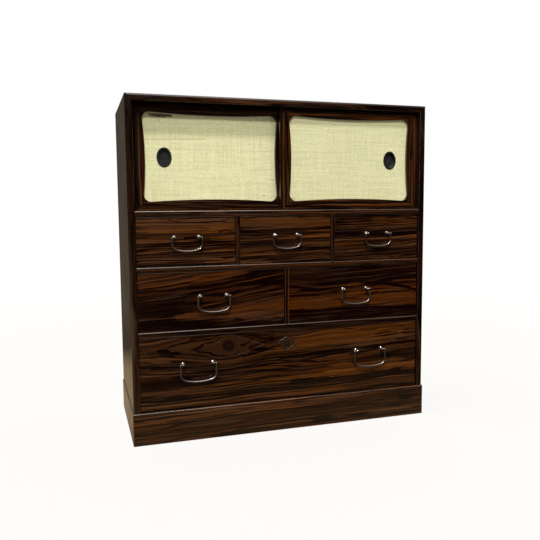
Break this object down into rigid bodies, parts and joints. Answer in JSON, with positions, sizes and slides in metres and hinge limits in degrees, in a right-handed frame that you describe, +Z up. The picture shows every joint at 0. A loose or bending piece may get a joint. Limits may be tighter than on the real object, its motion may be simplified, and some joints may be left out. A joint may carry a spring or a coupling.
{
  "type": "tea cabinet",
  "caption": "Low tea cabinet in striped dark wood: sliding cloth-panelled doors over drawers with drop handles, on a plain plinth.",
  "frame": {"origin": "on the floor, in the middle of the overall width and of the overall depth, handles included", "axes": "+X to the right seen from the front, +Y to the back, +Z up; the front faces -Y"},
  "size_m": [0.754, 0.3268, 0.802],
  "materials": {
    "striped_ebony": "gloss",
    "inner_wood": "satin",
    "cloth": "matte",
    "bronze": "satin",
    "black_metal": "satin"
  },
  "bodies": {
    "case": {"top_board": "striped_ebony", "left_side": "striped_ebony", "right_side": "striped_ebony", "shelf_board": "striped_ebony", "upper_rail": "striped_ebony", "lower_rail": "striped_ebony", "upper_run_board": "inner_wood", "lower_run_board": "inner_wood", "bottom_board": "inner_wood", "small_dividers": "striped_ebony", "middle_divider": "striped_ebony", "back_panel": "inner_wood", "drawer_stops": "inner_wood", "plinth_front": "striped_ebony", "plinth_sides": "striped_ebony", "plinth_back": "inner_wood", "plinth_blocks": "inner_wood"},
    "left_door": {"left_door_stiles": "striped_ebony", "left_door_rails": "striped_ebony", "left_door_panel": "inner_wood", "left_door_cloth": "cloth", "left_door_pull": "black_metal"},
    "right_door": {"right_door_stiles": "striped_ebony", "right_door_rails": "striped_ebony", "right_door_panel": "inner_wood", "right_door_cloth": "cloth", "right_door_pull": "black_metal"},
    "small_left_drawer": {"small_left_front": "striped_ebony", "small_left_box": "inner_wood", "small_left_bottom": "inner_wood", "small_left_posts": "bronze"},
    "small_centre_drawer": {"small_centre_front": "striped_ebony", "small_centre_box": "inner_wood", "small_centre_bottom": "inner_wood", "small_centre_posts": "bronze"},
    "small_right_drawer": {"small_right_front": "striped_ebony", "small_right_box": "inner_wood", "small_right_bottom": "inner_wood", "small_right_posts": "bronze"},
    "middle_left_drawer": {"middle_left_front": "striped_ebony", "middle_left_box": "inner_wood", "middle_left_bottom": "inner_wood", "middle_left_posts": "bronze"},
    "middle_right_drawer": {"middle_right_front": "striped_ebony", "middle_right_box": "inner_wood", "middle_right_bottom": "inner_wood", "middle_right_posts": "bronze"},
    "large_drawer": {"large_front": "striped_ebony", "large_box": "inner_wood", "large_bottom": "inner_wood", "large_posts": "bronze", "lock_parts": "bronze"},
    "small_left_bail": {"small_left_bail": "bronze"},
    "small_centre_bail": {"small_centre_bail": "bronze"},
    "small_right_bail": {"small_right_bail": "bronze"},
    "middle_left_bail": {"middle_left_bail": "bronze"},
    "middle_right_bail": {"middle_right_bail": "bronze"},
    "large_left_bail": {"large_left_bail": "bronze"},
    "large_right_bail": {"large_right_bail": "bronze"},
    "lock_bolt": {"lock_bolt": "bronze"}
  },
  "joints": [
    {"name": "left_door_slide", "type": "slide", "parent": "case", "child": "left_door", "axis": [1, 0, 0], "range_m": [0, 0.348]},
    {"name": "right_door_slide", "type": "slide", "parent": "case", "child": "right_door", "axis": [-1, 0, 0], "range_m": [0, 0.348]},
    {"name": "small_left_drawer_slide", "type": "slide", "parent": "case", "child": "small_left_drawer", "axis": [0, -1, 0], "range_m": [0, 0.21]},
    {"name": "small_centre_drawer_slide", "type": "slide", "parent": "case", "child": "small_centre_drawer", "axis": [0, -1, 0], "range_m": [0, 0.21]},
    {"name": "small_right_drawer_slide", "type": "slide", "parent": "case", "child": "small_right_drawer", "axis": [0, -1, 0], "range_m": [0, 0.21]},
    {"name": "middle_left_drawer_slide", "type": "slide", "parent": "case", "child": "middle_left_drawer", "axis": [0, -1, 0], "range_m": [0, 0.21]},
    {"name": "middle_right_drawer_slide", "type": "slide", "parent": "case", "child": "middle_right_drawer", "axis": [0, -1, 0], "range_m": [0, 0.21]},
    {"name": "large_drawer_slide", "type": "slide", "parent": "case", "child": "large_drawer", "axis": [0, -1, 0], "range_m": [0, 0.21]},
    {"name": "small_left_bail_swing", "type": "hinge", "parent": "small_left_drawer", "child": "small_left_bail", "pos_m": [-0.24267, -0.15965, 0.481], "axis": [-1, 0, 0], "range_deg": [-11, 191]},
    {"name": "small_centre_bail_swing", "type": "hinge", "parent": "small_centre_drawer", "child": "small_centre_bail", "pos_m": [0, -0.15965, 0.481], "axis": [-1, 0, 0], "range_deg": [-11, 191]},
    {"name": "small_right_bail_swing", "type": "hinge", "parent": "small_right_drawer", "child": "small_right_bail", "pos_m": [0.24267, -0.15965, 0.481], "axis": [-1, 0, 0], "range_deg": [-11, 191]},
    {"name": "middle_left_bail_swing", "type": "hinge", "parent": "middle_left_drawer", "child": "middle_left_bail", "pos_m": [-0.182, -0.15965, 0.342], "axis": [-1, 0, 0], "range_deg": [-9, 189]},
    {"name": "middle_right_bail_swing", "type": "hinge", "parent": "middle_right_drawer", "child": "middle_right_bail", "pos_m": [0.182, -0.15965, 0.342], "axis": [-1, 0, 0], "range_deg": [-9, 189]},
    {"name": "large_left_bail_swing", "type": "hinge", "parent": "large_drawer", "child": "large_left_bail", "pos_m": [-0.222, -0.15965, 0.18265], "axis": [-1, 0, 0], "range_deg": [-7.5, 187.5]},
    {"name": "large_right_bail_swing", "type": "hinge", "parent": "large_drawer", "child": "large_right_bail", "pos_m": [0.222, -0.15965, 0.18265], "axis": [-1, 0, 0], "range_deg": [-7.5, 187.5]},
    {"name": "lock_bolt_throw", "type": "slide", "parent": "large_drawer", "child": "lock_bolt", "axis": [0, 0, 1], "range_m": [0, 0.006]}
  ]
}
